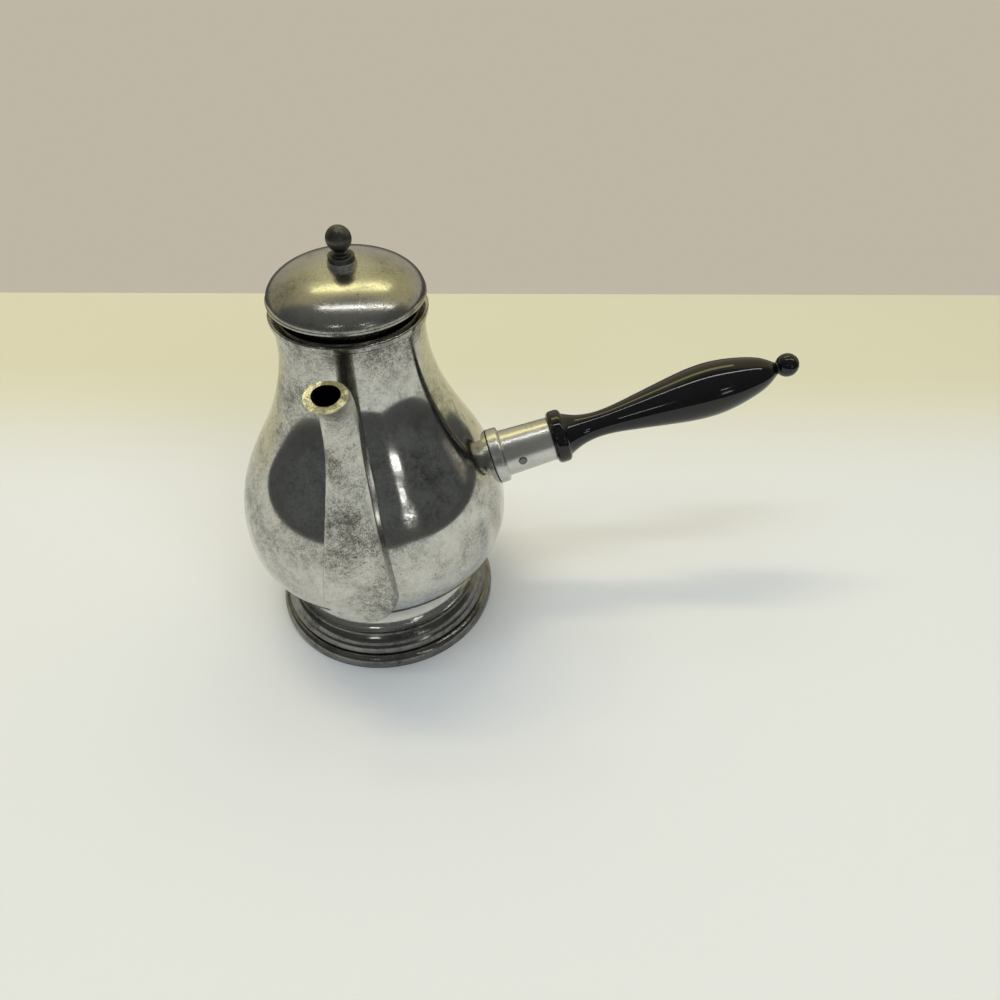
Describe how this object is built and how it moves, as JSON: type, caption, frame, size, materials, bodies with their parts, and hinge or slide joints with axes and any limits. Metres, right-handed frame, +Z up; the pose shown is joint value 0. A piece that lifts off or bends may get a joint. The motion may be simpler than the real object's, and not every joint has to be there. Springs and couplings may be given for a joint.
{
  "type": "side handle teapot",
  "caption": "Pear-shaped pewter pot on a stepped spreading foot, with a hinged domed lid, ball finial, upright spout and turned black side handle.",
  "frame": {"origin": "centre of the foot, on the table it stands on", "axes": "+Z up, the handle points to +X turned 10 degrees towards +Y, the spout points to -Y and the lid hinge is at +Y"},
  "size_m": [0.2374, 0.1156, 0.1824],
  "materials": {
    "pewter_body": "worn pewter, polished with pale oxide bloom",
    "pewter_foot": "polished pewter, darkened in the steps",
    "pewter_spout": "cast pewter with a mottled bloom",
    "pewter_lid": "polished pewter with fine scratches",
    "pewter_finial": "darkened polished pewter",
    "pewter_hinge": "cast pewter",
    "bright_socket": "bright turned metal",
    "dark_pin": "dark steel",
    "black_wood": "gloss black lacquer"
  },
  "bodies": {
    "pot": {"vessel_upper": "pewter_body", "vessel_bowl": "pewter_body", "rim_band": "pewter_body", "foot_ring": "pewter_foot", "spout": "pewter_spout", "socket_base": "bright_socket", "socket_tube": "bright_socket", "handle_grip": "black_wood", "handle_pin": "dark_pin", "hinge_body_leaf": "pewter_hinge", "hinge_pin": "dark_pin"},
    "lid": {"lid_shell": "pewter_lid", "lid_bezel": "pewter_lid", "finial_collar": "pewter_finial", "finial_knob": "pewter_finial", "finial_washer": "dark_pin", "finial_nut": "dark_pin", "hinge_lid_leaf": "pewter_hinge"}
  },
  "joints": [
    {"name": "lid_hinge", "type": "hinge", "parent": "pot", "child": "lid", "pos_m": [0, 0.0319, 0.1556], "axis": [-1, 0, 0], "range_deg": [0, 105]}
  ]
}
